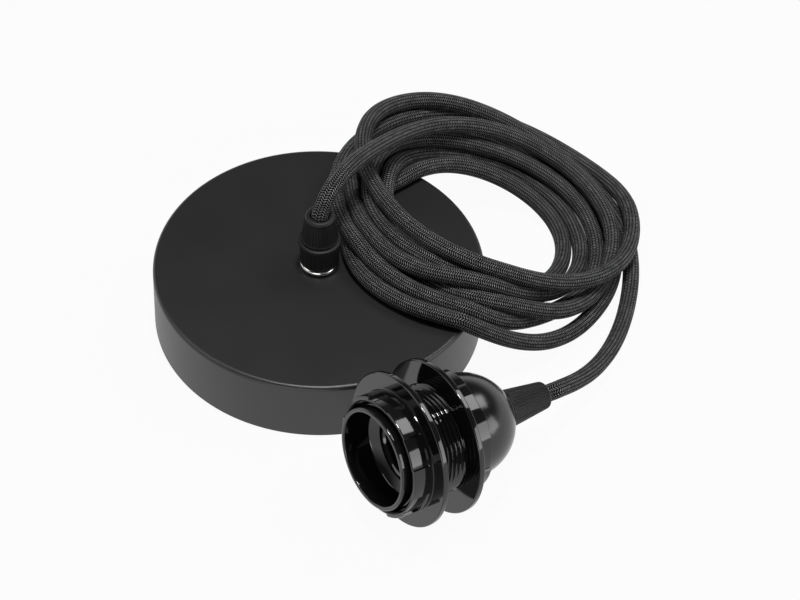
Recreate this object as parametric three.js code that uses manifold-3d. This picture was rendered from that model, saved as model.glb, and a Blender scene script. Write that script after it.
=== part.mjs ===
// A pendant cord set: a ceiling rose, a fabric covered cord and a threaded lamp holder with two shade rings.
// The rose lies open side down with the cord coiled half on it, and the holder lies in front on its rear ring.
// Millimetres, +Z up, X to the right and Y to the back.
import * as THREE from 'three';
import { mergeVertices } from 'three/addons/utils/BufferGeometryUtils.js';
import Module from 'manifold-3d';

const wasm = await Module();
wasm.setup();

// Clearances between pieces
const seatGap = 0.3;          // between pieces that rest on or clamp each other
const threadGap = 0.3;        // radial gap in a screwed joint, whose thread is left plain
const cordGap = 0.4;          // radial gap around the cord where it is gripped

// Cord
const cordRadius = 3.1;
const coreRadius = 1.1;
const coreSpread = 1.5;         // from the cord's middle to each core
const sheathSetback = 3.4;      // how far inside a nipple the cord's sheath ends

// Ceiling rose
const roseRadius = 60;
const roseHeight = 25;
const roseWall = 1.2;
const roseEdgeRadius = 1.6;

// Hollow threaded nipple, its nuts and the chrome collar
const nippleRadius = 4.9;
const nippleRise = 9;           // above the rose's top
const nippleEnd = 1.1;          // below the bracket's nut
const nutAcrossFlats = 14;
const nutHeight = 3;
const collarRadius = 7.1;
const collarHeight = 2.3;

// Ceiling bracket
const bracketEndGap = 10.8;     // from each end to the rose's wall
const bracketWidth = 16;
const bracketThickness = 2;
const bracketRise = 10;
const bracketFootLength = 14;
const bracketRampRun = 8;
const bracketSlotWidth = 4;
const bracketSlotLength = 7;

// Terminal block on the bracket
const blockLength = 19;
const blockWidth = 15;
const blockHeadroom = 1.9;      // from its towers to the rose's inside
const blockOffset = 19.5;
const poleSpacing = 6;
const poleTowerHeight = 2.6;
const poleTowerWidth = 4.6;
const poleTowerSetback = 2;
const poleBoreRadius = 1.5;
const poleScrewRadius = 1.2;
const poleScrewLength = 3.6;
const poleScrewDepth = 0.6;     // below the tower's top

// Earth screw on the bracket
const earthOffset = -17;
const earthScrewRadius = 1.9;
const earthHeadRadius = 3.4;
const earthHeadHeight = 2.2;
const earthWasherRadius = 4.2;
const earthWasherThickness = 0.8;
const earthScrewReach = 2;      // below the strap
const earthSlotWidth = 0.9;
const earthSlotDepth = 0.8;

// Cord grip on the rose
const roseGripRadius = 7.1;
const roseGripBodyHeight = 8.6;
const roseGripRimRadius = 7.7;
const roseGripRimHeight = 1.9;
const roseCapBaseRadius = 6.7;
const roseCapEndRadius = 5.4;
const roseCapLength = 11.4;
const roseFingerRadius = 4.9;
const roseFingerLength = 8;

// Cord grip on the lamp holder
const holderCapBaseRadius = 6.8;
const holderCapEndRadius = 5;
const holderCapLength = 17.6;
const holderGripShoulderRadius = 5.3;
const holderGripShoulderLength = 4;
const holderGripNippleLength = 6.4;
const holderFingerRadius = 4.4;
const holderFingerLength = 9;

// Details that both cord grips share
const fingerSlotWidth = 0.9;
const fingerTipTaper = 0.6;
const gripRibs = 20;
const gripRibDepth = 0.3;
const gripEndRounding = 1.2;
const gripPlainBand = 0.8;
const gripRimChamfer = 0.3;
const fingerTipLength = 2;
const funnelLength = 1.3;       // the cone inside a grip cap that presses the fingers in
const tailSetback = 4;          // how far inside the holder's grip cap the free cord ends

// Small slotted screws
const screwSlotWidth = 0.5;
const screwSlotDepth = 0.5;
const screwSteps = 12;

// Lamp holder barrel
const barrelThreadRadius = 19.2;
const barrelThreadFront = 8;
const barrelThreadRear = -18.5;
const barrelThreadRun = 0.8;    // chamfer at the thread's front end
const barrelLipStep = 1;        // the lip is this much inside the thread
const barrelLipFront = 12.4;
const barrelLipRounding = 0.5;
const barrelLipWall = 1.6;
const barrelBoreDepth = 10.4;
const barrelStepRun = 2;
const barrelNeckLength = 4.1;
const lampThreadRadius = 13.3;

// Shade rings
const ringFlangeReach = 5.9;
const ringFlangeThickness = 2.1;
const ringFlangeRounding = 0.5;
const ringHubWall = 2.1;
const ringHubChamfer = 0.4;
const ringHubLength = 7.8;
const ringLugs = 6;
const ringLugDepth = 0.8;
const ringLugStart = 1.4;
const ringBoreChamfer = 0.7;
const ringGap = 12.6;

// Lamp holder cap
const capStep = 0.8;            // the cap is this much inside the thread
const capWall = 1.1;
const capSkirtLength = 6.2;
const capDomeHeight = 17.2;
const capBossRadius = 7.2;
const capBossHeight = 0.6;
const capDomeWall = 2.2;
const capLedgeWidth = 2.2;

// Contact carrier and contacts
const carrierThickness = 3.6;
const carrierFrontHeight = 1.6;
const carrierBossGap = 0.8;     // radial gap from the carrier's front boss to the barrel's bore
const carrierRearRadius = 12;
const carrierRearHeight = 5.4;
const contactThickness = 0.5;
const contactWidth = 5;
const centreContactRise = 4;
const centreContactReach = 7.5;
const sideContactRise = 8;
const sideContactFoot = 4;
const terminalWidth = 5;
const terminalLength = 6.4;
const terminalHeight = 4.4;
const terminalSpacing = 12;
const terminalBoreRadius = 1.5;
const terminalScrewRadius = 1.2;
const terminalScrewHead = 1.8;
const terminalScrewHeadHeight = 1.2;
const terminalScrewReach = 0.6;

// Where the lamp holder lies: the middle of its front flange's back face, and which way its mouth points
const holderX = 32.84;
const holderY = -88.3;
const holderHeading = -144.3;
const holderTilt = 8.45;

// The coil of cord, as reaches from its middle and heights at eight directions, counter-clockwise from the right
const coilMiddle = new THREE.Vector2(58, 22);
const coilOuterReach = [61, 69, 66, 63, 55, 53, 52, 53.5];
const coilInnerReach = [27, 37, 35, 35, 33, 26, 26, 22];
const coilBottom = [0.4, 0.6, 14, 26, 26, 26, 26.4, 1];
const coilTop = [17, 17, 35, 46, 50, 44, 40, 28];

// Steps around round pieces
const ringSteps = 48;
const barrelSteps = 36;
const roseSteps = 60;
const gripSteps = 20;
const coilSteps = 36;
const smallSteps = 20;
const boreSteps = 16;

// Sizes that follow from the ones above
const bracketTop = bracketRise + bracketThickness;
const bracketNutBottom = bracketRise - seatGap - nutHeight;
const nippleBottom = bracketNutBottom - nippleEnd;
const nippleTop = roseHeight + nippleRise;
const gripBore = cordRadius + cordGap;
const nippleHoleRadius = nippleRadius + threadGap;
const blockBottom = bracketTop + seatGap;
const blockHeight = roseHeight - roseWall - blockHeadroom - poleTowerHeight - blockBottom;
const roseGripBottom = roseHeight + seatGap + collarHeight + seatGap;
const roseGripRimTop = roseGripBottom + roseGripBodyHeight + roseGripRimHeight;
const roseCapBottom = roseGripRimTop + seatGap;
const roseTailBottom = nippleBottom + sheathSetback;
const barrelLipRadius = barrelThreadRadius - barrelLipStep;
const barrelBoreRadius = barrelLipRadius - barrelLipWall;
const barrelNeckRear = barrelThreadRear - barrelNeckLength;
const ringBore = barrelThreadRadius + threadGap;
const ringHubRadius = ringBore + ringHubWall;
const ringRadius = ringHubRadius + ringFlangeReach;
const capRadius = barrelThreadRadius - capStep;
const capBore = capRadius - capWall;
const capFront = barrelThreadRear - seatGap;
const capDomeStart = capFront - capSkirtLength;
const capBossRear = capDomeStart - capDomeHeight - capBossHeight;
const carrierRear = barrelNeckRear - seatGap - carrierThickness;
const carrierEnd = carrierRear - carrierRearHeight;
const carrierFront = barrelNeckRear - seatGap + carrierFrontHeight;
const carrierBossRadius = lampThreadRadius - carrierBossGap;
const terminalReach = terminalSpacing / 2;
const holderNippleEnd = capBossRear + holderGripNippleLength;
const holderCapBottom = capBossRear - seatGap;
const holderGripRear = holderCapBottom - holderCapLength;
const holderTailFront = holderNippleEnd - sheathSetback;
const holderTailRear = holderGripRear + tailSetback;
const holderTurn = THREE.MathUtils.degToRad(90 - holderTilt);
const holderFacing = new THREE.Euler(0, holderTurn, THREE.MathUtils.degToRad(holderHeading), 'ZYX');
const holderHeight = restingHeight(THREE.MathUtils.degToRad(holderTilt));
const holderPlace = new THREE.Vector3(holderX, holderY, holderHeight);

const mattBlackMetal = new THREE.MeshStandardMaterial({ color: 0x2f2f30, roughness: 0.55, metalness: 0.1 });
const glossBlack = new THREE.MeshStandardMaterial({ color: 0x0c0c0d, roughness: 0.08, metalness: 0 });
const mattBlack = new THREE.MeshStandardMaterial({ color: 0x18181a, roughness: 0.6, metalness: 0 });
const chrome = new THREE.MeshStandardMaterial({ color: 0xd8d8d8, roughness: 0.1, metalness: 1 });
const zincSteel = new THREE.MeshStandardMaterial({ color: 0x9fa2a5, roughness: 0.4, metalness: 1 });
const brass = new THREE.MeshStandardMaterial({ color: 0xb8924a, roughness: 0.3, metalness: 1 });
const ceramicBlack = new THREE.MeshStandardMaterial({ color: 0x101011, roughness: 0.4, metalness: 0 });
const clearPlastic = new THREE.MeshStandardMaterial({ color: 0xd9dcdc, roughness: 0.4, metalness: 0 });
const blackBraid = new THREE.MeshStandardMaterial({ color: 0x141415, roughness: 0.85, metalness: 0 });
const brownPlastic = new THREE.MeshStandardMaterial({ color: 0x5a3520, roughness: 0.5, metalness: 0 });
const bluePlastic = new THREE.MeshStandardMaterial({ color: 0x2a5d9a, roughness: 0.5, metalness: 0 });
const greenPlastic = new THREE.MeshStandardMaterial({ color: 0x6f9a2a, roughness: 0.5, metalness: 0 });

// How high the holder's middle lies with the rounded rim of its rear ring on the floor.
function restingHeight(tilt) {
  const rimRadius = ringRadius - ringFlangeRounding;
  const rimPlace = ringGap + ringFlangeThickness - ringFlangeRounding;
  return rimRadius * Math.cos(tilt) + rimPlace * Math.sin(tilt) + ringFlangeRounding;
}

// A round piece from points [radius, height] that run up the outside and back down the inside.
function turned(points, steps = ringSteps) {
  const profile = points.map(([radius, height]) => new THREE.Vector2(radius, height));
  if (points[0][0] > 0) {
    profile.push(profile[0].clone());
  }
  const geometry = new THREE.LatheGeometry(profile, steps);
  geometry.rotateX(Math.PI / 2);
  return geometry;
}

// Points of an arc in a turned profile, from one angle to another in degrees.
function arcPoints(middleRadius, middleHeight, radius, height, from, to, steps) {
  const points = [];
  for (let i = 0; i <= steps; i += 1) {
    const angle = THREE.MathUtils.degToRad(from + (to - from) * i / steps);
    points.push([middleRadius + radius * Math.cos(angle), middleHeight + height * Math.sin(angle)]);
  }
  return points;
}

// Turns a closed mesh into a solid that can be joined and cut.
function toSolid(geometry) {
  const bare = geometry.clone();
  bare.deleteAttribute('normal');
  bare.deleteAttribute('uv');
  const merged = mergeVertices(bare, 1e-4);
  const index = merged.index.array;
  const triangles = [];
  for (let i = 0; i < index.length; i += 3) {
    const [a, b, c] = [index[i], index[i + 1], index[i + 2]];
    if (a !== b && b !== c && c !== a) {
      triangles.push(a, b, c);
    }
  }
  const vertProperties = new Float32Array(merged.attributes.position.array);
  const triVerts = new Uint32Array(triangles);
  return new wasm.Manifold(new wasm.Mesh({ numProp: 3, vertProperties, triVerts }));
}

// Turns a solid back into a mesh.
function toGeometry(solid) {
  const { vertProperties, triVerts } = solid.getMesh();
  const geometry = new THREE.BufferGeometry();
  geometry.setAttribute('position', new THREE.BufferAttribute(vertProperties, 3));
  geometry.setIndex(new THREE.BufferAttribute(triVerts, 1));
  geometry.computeVertexNormals();
  return geometry;
}

// Cuts every tool out of a body.
function cutOut(body, tools) {
  let solid = toSolid(body);
  for (const tool of tools) {
    solid = solid.subtract(toSolid(tool));
  }
  return toGeometry(solid);
}

// An upright round rod between two heights.
function rod(radius, bottom, top, steps = boreSteps) {
  return turned([[0, bottom], [radius, bottom], [radius, top], [0, top]], steps);
}

// An upright box around a middle.
function slab(width, depth, height, x, y, z) {
  const geometry = new THREE.BoxGeometry(width, depth, height);
  geometry.translate(x, y, z);
  return geometry;
}

// A tube of round section along points, with a given number of steps.
function tube(points, radius, steps, sides) {
  const section = new THREE.Shape();
  section.absarc(0, 0, radius, 0, Math.PI * 2, false);
  const path = new THREE.CatmullRomCurve3(points, false, 'centripetal');
  return new THREE.ExtrudeGeometry(section, {
    steps, curveSegments: sides / 2, bevelEnabled: false, extrudePath: path,
  });
}

// A flat outline drawn in X and Z, given a width along Y.
function plate(outline, width) {
  const shape = new THREE.Shape(outline.map(([x, z]) => new THREE.Vector2(x, z)));
  const geometry = new THREE.ExtrudeGeometry(shape, { depth: width, bevelEnabled: false });
  geometry.rotateX(Math.PI / 2);
  geometry.translate(0, width / 2, 0);
  return geometry;
}

function piece(name, geometry, material) {
  const mesh = new THREE.Mesh(geometry, material);
  mesh.name = name;
  return mesh;
}

// Rose

// A pressed cup with a rounded edge and a hole in its middle for the nipple.
function roseCup() {
  const hole = nippleHoleRadius;
  const flat = roseRadius - roseEdgeRadius;
  const shoulder = roseHeight - roseEdgeRadius;
  const innerEdge = roseEdgeRadius - roseWall;
  return turned([
    [roseRadius, 0],
    ...arcPoints(flat, shoulder, roseEdgeRadius, roseEdgeRadius, 0, 90, 4),
    [hole, roseHeight],
    [hole, roseHeight - roseWall],
    ...arcPoints(flat, shoulder, innerEdge, innerEdge, 90, 0, 2),
    [roseRadius - roseWall, 0],
  ], roseSteps);
}

// A bent steel strap whose two feet lie against the ceiling, with a slot in each foot.
function ceilingBracket() {
  const half = roseRadius - roseWall - bracketEndGap;
  const knee = half - bracketFootLength;
  const top = knee - bracketRampRun;
  const shift = bracketThickness * Math.tan(Math.atan2(bracketRise, bracketRampRun) / 2);
  const under = [[-half, 0], [-knee, 0], [-top, bracketRise], [top, bracketRise], [knee, 0], [half, 0]];
  const over = [
    [half, bracketThickness],
    [knee + shift, bracketThickness],
    [top + shift, bracketRise + bracketThickness],
    [-top - shift, bracketRise + bracketThickness],
    [-knee - shift, bracketThickness],
    [-half, bracketThickness],
  ];
  const strap = plate([...under, ...over], bracketWidth);
  const holeTop = bracketTop + 1;
  const slots = [-1, 1].map((side) => {
    const x = side * (knee + bracketFootLength / 2);
    return slab(bracketSlotLength, bracketSlotWidth, bracketThickness * 3, x, 0, bracketThickness / 2);
  });
  const nippleHole = rod(nippleHoleRadius, bracketRise - 1, holeTop, smallSteps);
  const earthHole = rod(earthScrewRadius + threadGap, bracketRise - 1, holeTop);
  earthHole.translate(earthOffset, 0, 0);
  return cutOut(strap, [...slots, nippleHole, earthHole]);
}

// The hollow threaded tube that carries the rose and the cord grip.
function hollowNipple() {
  return turned([
    [nippleRadius, nippleBottom],
    [nippleRadius, nippleTop],
    [gripBore, nippleTop],
    [gripBore, nippleBottom],
  ], smallSteps);
}

function hexNut(bottom) {
  const corner = nutAcrossFlats / 2 / Math.cos(Math.PI / 6);
  const shape = new THREE.Shape();
  for (let i = 0; i < 6; i += 1) {
    const angle = i * Math.PI / 3;
    const x = corner * Math.cos(angle);
    const y = corner * Math.sin(angle);
    if (i === 0) {
      shape.moveTo(x, y);
    } else {
      shape.lineTo(x, y);
    }
  }
  shape.closePath();
  const hole = new THREE.Path();
  hole.absarc(0, 0, nippleHoleRadius, 0, Math.PI * 2, true);
  shape.holes.push(hole);
  const geometry = new THREE.ExtrudeGeometry(shape, {
    depth: nutHeight, bevelEnabled: false, curveSegments: smallSteps / 2,
  });
  geometry.translate(0, 0, bottom);
  return geometry;
}

// The bright domed ring at the foot of the cord grip.
function roseCollar() {
  const bottom = roseHeight + seatGap;
  const middle = bottom + collarHeight / 2;
  const bulge = collarHeight / 2;
  return turned([
    ...arcPoints(collarRadius - bulge, middle, bulge, bulge, -90, 90, 5),
    [nippleHoleRadius, bottom + collarHeight],
    [nippleHoleRadius, bottom],
  ], gripSteps);
}

// Four slots that part the end of a grip body into clamping fingers.
function fingerSlots(bottom, top, reach) {
  const height = top - bottom;
  const middle = (top + bottom) / 2;
  return [
    slab(reach * 2, fingerSlotWidth, height, 0, 0, middle),
    slab(fingerSlotWidth, reach * 2, height, 0, 0, middle),
  ];
}

// The clamping body that screws on the nipple, with slotted fingers that the cap presses on the cord.
function roseGripBody() {
  const rimBottom = roseGripBottom + roseGripBodyHeight;
  const fingerTop = roseGripRimTop + roseFingerLength;
  const whole = turned([
    [roseGripRadius, roseGripBottom],
    [roseGripRadius, rimBottom],
    [roseGripRimRadius, rimBottom + gripRimChamfer],
    [roseGripRimRadius, roseGripRimTop - gripRimChamfer],
    [roseGripRimRadius - gripRimChamfer, roseGripRimTop],
    [roseFingerRadius, roseGripRimTop],
    [roseFingerRadius, fingerTop - fingerTipLength],
    [roseFingerRadius - fingerTipTaper, fingerTop],
    [gripBore, fingerTop],
    [gripBore, nippleTop + seatGap],
    [nippleHoleRadius, nippleTop + seatGap],
    [nippleHoleRadius, roseGripBottom],
  ], gripSteps);
  return cutOut(whole, fingerSlots(roseGripRimTop + 1, fingerTop + 1, roseFingerRadius + 1));
}

// A tapered cap with fine ribs along it, drawn from its base at height 0 up to its rounded end.
// The inside is given by points [radius, height] from the end down to the base.
function ribbedCap(baseRadius, endRadius, length, inside) {
  const bandStep = 0.1;
  const geometry = turned([
    [baseRadius, 0],
    [baseRadius, gripPlainBand],
    [baseRadius, gripPlainBand + bandStep],
    [endRadius, length - gripEndRounding],
    ...arcPoints(endRadius - gripEndRounding, length - gripEndRounding, gripEndRounding, gripEndRounding, 30, 90, 2),
    ...inside,
  ], gripRibs * 2);
  const position = geometry.attributes.position;
  for (let i = 0; i < position.count; i += 1) {
    const x = position.getX(i);
    const y = position.getY(i);
    const z = position.getZ(i);
    const radius = Math.hypot(x, y);
    const column = Math.round(Math.atan2(y, x) / (Math.PI / gripRibs));
    const outside = radius > endRadius - bandStep / 2;
    const ribbed = z > gripPlainBand + bandStep / 2 && z < length - gripEndRounding + bandStep / 2;
    if (outside && ribbed && Math.abs(column) % 2 === 1) {
      const inward = (radius - gripRibDepth) / radius;
      position.setXY(i, x * inward, y * inward);
    }
  }
  return geometry;
}

function roseGripCap() {
  const fingerTop = roseFingerLength - seatGap;
  const geometry = ribbedCap(roseCapBaseRadius, roseCapEndRadius, roseCapLength, [
    [gripBore, roseCapLength],
    [gripBore, fingerTop + funnelLength],
    [roseFingerRadius - fingerTipTaper + seatGap, fingerTop + seatGap],
    [roseFingerRadius + seatGap, fingerTop - fingerTipLength],
    [roseFingerRadius + seatGap, 0],
  ]);
  geometry.translate(0, 0, roseCapBottom);
  return geometry;
}

// A three pole terminal block with a wire bore and a screw well in each pole.
function terminalBlock() {
  const middleHeight = blockBottom + blockHeight / 2;
  const towerDepth = blockWidth - poleTowerSetback * 2;
  const towers = [-1, 0, 1].map((pole) => {
    const x = blockOffset + pole * poleSpacing;
    return slab(poleTowerWidth, towerDepth, poleTowerHeight * 2, x, 0, blockBottom + blockHeight);
  });
  let solid = toSolid(slab(blockLength, blockWidth, blockHeight, blockOffset, 0, middleHeight));
  for (const tower of towers) {
    solid = solid.add(toSolid(tower));
  }
  for (const pole of [-1, 0, 1]) {
    const x = blockOffset + pole * poleSpacing;
    const wireBore = rod(poleBoreRadius, -blockWidth, blockWidth, screwSteps);
    wireBore.rotateX(Math.PI / 2);
    wireBore.translate(x, 0, middleHeight);
    const well = rod(poleScrewRadius + threadGap, middleHeight, middleHeight + blockHeight, screwSteps);
    well.translate(x, 0, 0);
    solid = solid.subtract(toSolid(wireBore)).subtract(toSolid(well));
  }
  return toGeometry(solid);
}

function terminalScrew(pole) {
  const top = blockBottom + blockHeight + poleTowerHeight - poleScrewDepth;
  const screw = cutOut(rod(poleScrewRadius, top - poleScrewLength, top, screwSteps), [
    slab(poleScrewRadius * 3, screwSlotWidth, screwSlotDepth * 2, 0, 0, top),
  ]);
  screw.translate(blockOffset + pole * poleSpacing, 0, 0);
  return screw;
}

function earthWasher() {
  const bottom = bracketTop + seatGap;
  const geometry = turned([
    [earthWasherRadius, bottom],
    [earthWasherRadius, bottom + earthWasherThickness],
    [earthScrewRadius + threadGap, bottom + earthWasherThickness],
    [earthScrewRadius + threadGap, bottom],
  ], boreSteps);
  geometry.translate(earthOffset, 0, 0);
  return geometry;
}

function earthScrew() {
  const headBottom = bracketTop + seatGap + earthWasherThickness + seatGap;
  const headTop = headBottom + earthHeadHeight;
  const screw = turned([
    [0, bracketRise - earthScrewReach],
    [earthScrewRadius, bracketRise - earthScrewReach],
    [earthScrewRadius, headBottom],
    [earthHeadRadius, headBottom],
    [earthHeadRadius, headBottom + earthHeadHeight * 0.4],
    [earthHeadRadius * 0.6, headTop],
    [0, headTop],
  ], boreSteps);
  const slotted = cutOut(screw, [slab(earthHeadRadius * 3, earthSlotWidth, earthSlotDepth * 2, 0, 0, headTop)]);
  slotted.translate(earthOffset, 0, 0);
  return slotted;
}

// The cord's sheath ends inside the nipple, and its cores fan out below it, round the strap's edge.
function coreTube(points) {
  const path = points.map(([x, y, z]) => new THREE.Vector3(x, y, z));
  return tube(path, coreRadius, points.length * 2, 8);
}

const coreLow = coreRadius + 1.5;
const strapEdge = -bracketWidth / 2 - seatGap - coreRadius;

function roseCore(side, pole, bend) {
  const x = blockOffset + pole * poleSpacing;
  const start = roseTailBottom - seatGap;
  const entry = -blockWidth / 2 - seatGap;
  const height = bracketTop + seatGap + blockHeight / 2;
  return coreTube([
    [coreSpread, side, start],
    [coreSpread, side, nippleBottom + 0.4],
    [coreSpread + 0.5, side - 0.8, coreLow + 1.2],
    [bend, side * 1.6 - 2.9, coreLow],
    [x * 0.45, side * 1.6 - 8, coreLow],
    [x * 0.8, strapEdge - 2.4, coreLow + 3.2],
    [x, strapEdge - 2.8, height - 4],
    [x, strapEdge - 1.2, height - 0.4],
    [x, entry, height],
  ]);
}

function earthCore() {
  const start = roseTailBottom - seatGap;
  const height = bracketTop + seatGap + coreRadius + 0.1;
  return coreTube([
    [-coreSpread, 0, start],
    [-coreSpread, 0, nippleBottom + 0.4],
    [-coreSpread - 0.7, -0.8, coreLow + 1.2],
    [-6, -5, coreLow],
    [earthOffset * 0.75, strapEdge - 1.2, coreLow + 2],
    [earthOffset, strapEdge - 2.2, height - 3.6],
    [earthOffset, strapEdge - 0.8, height - 0.3],
    [earthOffset, -earthWasherRadius - seatGap, height],
  ]);
}

// Lamp holder, drawn along its own axis with the mouth up and the front flange's back face at height 0

// A shade ring: a flange, and a hub whose outside steps in and out for the fingers to turn.
function shadeRing() {
  const front = ringFlangeThickness + ringHubLength;
  const edge = ringFlangeRounding;
  const ring = turned([
    [ringRadius - edge, 0],
    [ringRadius, edge],
    ...arcPoints(ringRadius - edge, ringFlangeThickness - edge, edge, edge, 0, 90, 3),
    [ringHubRadius, ringFlangeThickness],
    [ringHubRadius, front - ringHubChamfer],
    [ringHubRadius - ringHubChamfer, front],
    [ringBore + ringBoreChamfer, front],
    [ringBore, front - ringBoreChamfer],
    [ringBore, 0],
  ]);
  const sector = Math.PI / ringLugs;
  const steps = ringSteps / ringLugs / 2;
  const recesses = [];
  for (let i = 0; i < ringLugs; i += 1) {
    const from = sector * (2 * i);
    const shape = new THREE.Shape();
    shape.absarc(0, 0, ringHubRadius + 2, from, from + sector, false);
    shape.absarc(0, 0, ringHubRadius - ringLugDepth, from + sector, from, true);
    const recess = new THREE.ExtrudeGeometry(shape, {
      depth: ringHubLength, bevelEnabled: false, curveSegments: steps,
    });
    recess.translate(0, 0, ringFlangeThickness + ringLugStart);
    recesses.push(recess);
  }
  return cutOut(ring, recesses);
}

// The threaded barrel: its neck at the rear goes into the cap, and the lamp screws into its front.
function holderBarrel() {
  const neckRadius = capBore - threadGap;
  const round = barrelLipRounding;
  const boreBottom = barrelLipFront - barrelBoreDepth;
  return turned([
    [neckRadius, barrelNeckRear],
    [neckRadius, barrelThreadRear],
    [barrelThreadRadius, barrelThreadRear],
    [barrelThreadRadius, barrelThreadFront - barrelThreadRun],
    [barrelThreadRadius - barrelThreadRun, barrelThreadFront],
    [barrelLipRadius, barrelThreadFront],
    ...arcPoints(barrelLipRadius - round, barrelLipFront - round, round, round, 0, 90, 2),
    ...arcPoints(barrelBoreRadius + round, barrelLipFront - round, round, round, 90, 180, 2),
    [barrelBoreRadius, boreBottom],
    [lampThreadRadius, boreBottom - barrelStepRun],
    [lampThreadRadius, barrelNeckRear],
  ], barrelSteps);
}

// A domed cap that screws on the barrel's neck, with a boss for the cord grip.
function holderCap() {
  const ledge = capBore - capLedgeWidth;
  const ledgeFront = carrierRear - seatGap;
  const domeSide = capDomeHeight / Math.sqrt(1 - (capBossRadius / capRadius) ** 2);
  const bossAngle = -THREE.MathUtils.radToDeg(Math.acos(capBossRadius / capRadius));
  const innerAngle = -THREE.MathUtils.radToDeg(Math.acos(capBossRadius / ledge));
  const innerSide = (capDomeHeight - capDomeWall) / Math.sin(THREE.MathUtils.degToRad(-innerAngle));
  return turned([
    [nippleHoleRadius, capBossRear],
    [capBossRadius, capBossRear],
    ...arcPoints(0, capDomeStart, capRadius, domeSide, bossAngle, 0, 7),
    [capRadius, capFront],
    [capBore, capFront],
    [capBore, ledgeFront],
    [ledge, ledgeFront],
    ...arcPoints(0, capDomeStart, ledge, innerSide, -12, innerAngle, 4),
    [nippleHoleRadius, capDomeStart - capDomeHeight + capDomeWall],
  ], barrelSteps);
}

// The insulating block that carries both contacts, clamped between the barrel's neck and the cap's ledge.
function contactCarrier() {
  const front = barrelNeckRear - seatGap;
  const rim = capBore - threadGap;
  const block = turned([
    [0, carrierEnd],
    [carrierRearRadius, carrierEnd],
    [carrierRearRadius, carrierRear],
    [rim, carrierRear],
    [rim, front],
    [carrierBossRadius, front],
    [carrierBossRadius, carrierFront],
    [0, carrierFront],
  ], barrelSteps);
  const pockets = [-1, 1].map((side) => slab(
    terminalLength + seatGap * 2,
    terminalWidth + seatGap * 2,
    (terminalHeight + seatGap) * 2,
    0,
    side * terminalReach,
    carrierEnd,
  ));
  return cutOut(block, pockets);
}

// A springy leaf that rises from its foot to the lamp's centre contact.
function centreContact() {
  const foot = carrierFront + seatGap;
  const tip = foot + centreContactRise;
  const reach = centreContactReach;
  return plate([
    [-reach, foot],
    [-reach + 4, foot],
    [1.5, tip - contactThickness],
    [3, tip - contactThickness],
    [4.6, tip - contactThickness - 1.2],
    [5, tip - contactThickness - 0.9],
    [3.3, tip],
    [1.2, tip],
    [-reach + 3.8, foot + contactThickness],
    [-reach, foot + contactThickness],
  ], contactWidth);
}

// A leaf that stands beside the lamp's shell.
function sideContact() {
  const foot = carrierFront + seatGap;
  const outside = Math.sqrt(carrierBossRadius ** 2 - (contactWidth / 2) ** 2);
  return plate([
    [outside - sideContactFoot, foot],
    [outside, foot],
    [outside, foot + sideContactRise - 1.5],
    [outside - 0.7, foot + sideContactRise],
    [outside - 1.1, foot + sideContactRise - 0.3],
    [outside - contactThickness, foot + sideContactRise - 1.6],
    [outside - contactThickness, foot + contactThickness],
    [outside - sideContactFoot, foot + contactThickness],
  ], contactWidth);
}

// A brass block with a wire hole in its rear face and a clamp screw across it.
function holderTerminal(side) {
  const middleHeight = carrierEnd + terminalHeight / 2;
  const y = side * terminalReach;
  const wireHole = rod(terminalBoreRadius, carrierEnd - 1, middleHeight + 1, screwSteps);
  wireHole.translate(-terminalLength / 4, y, 0);
  const screwHole = rod(terminalScrewRadius + threadGap, carrierEnd - 1, middleHeight + 1, screwSteps);
  screwHole.translate(terminalLength / 4, y, 0);
  return cutOut(slab(terminalLength, terminalWidth, terminalHeight, 0, y, middleHeight), [wireHole, screwHole]);
}

function holderTerminalScrew(side) {
  const headFront = carrierEnd - seatGap;
  const headRear = headFront - terminalScrewHeadHeight;
  const tip = carrierEnd + terminalHeight / 2 + terminalScrewReach;
  const screw = turned([
    [0, headRear],
    [terminalScrewHead, headRear],
    [terminalScrewHead, headFront],
    [terminalScrewRadius, headFront],
    [terminalScrewRadius, tip],
    [0, tip],
  ], screwSteps);
  const slotted = cutOut(screw, [
    slab(terminalScrewHead * 3, screwSlotWidth, screwSlotDepth * 2, 0, 0, headRear),
  ]);
  slotted.translate(terminalLength / 4, side * terminalReach, 0);
  return slotted;
}

// The clamping body that screws into the cap's boss.
function holderGripBody() {
  const shoulderRear = holderCapBottom - holderGripShoulderLength;
  const fingerRear = shoulderRear - holderFingerLength;
  const whole = turned([
    [gripBore, fingerRear],
    [holderFingerRadius - fingerTipTaper, fingerRear],
    [holderFingerRadius, fingerRear + fingerTipLength],
    [holderFingerRadius, shoulderRear],
    [holderGripShoulderRadius, shoulderRear],
    [holderGripShoulderRadius, holderCapBottom],
    [nippleRadius, holderCapBottom],
    [nippleRadius, holderNippleEnd],
    [gripBore, holderNippleEnd],
  ], gripSteps);
  return cutOut(whole, fingerSlots(fingerRear - 1, shoulderRear - 1, holderFingerRadius + 1));
}

function holderGripCap() {
  const shoulder = holderGripShoulderLength + seatGap;
  const fingerTop = holderGripShoulderLength + holderFingerLength;
  const geometry = ribbedCap(holderCapBaseRadius, holderCapEndRadius, holderCapLength, [
    [gripBore, holderCapLength],
    [gripBore, fingerTop + funnelLength],
    [holderFingerRadius - fingerTipTaper + seatGap, fingerTop + seatGap],
    [holderFingerRadius + seatGap, fingerTop - fingerTipLength],
    [holderFingerRadius + seatGap, shoulder],
    [holderGripShoulderRadius + seatGap, shoulder],
    [holderGripShoulderRadius + seatGap, 0],
  ]);
  geometry.rotateX(Math.PI);
  geometry.translate(0, 0, holderCapBottom);
  return geometry;
}

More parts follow.
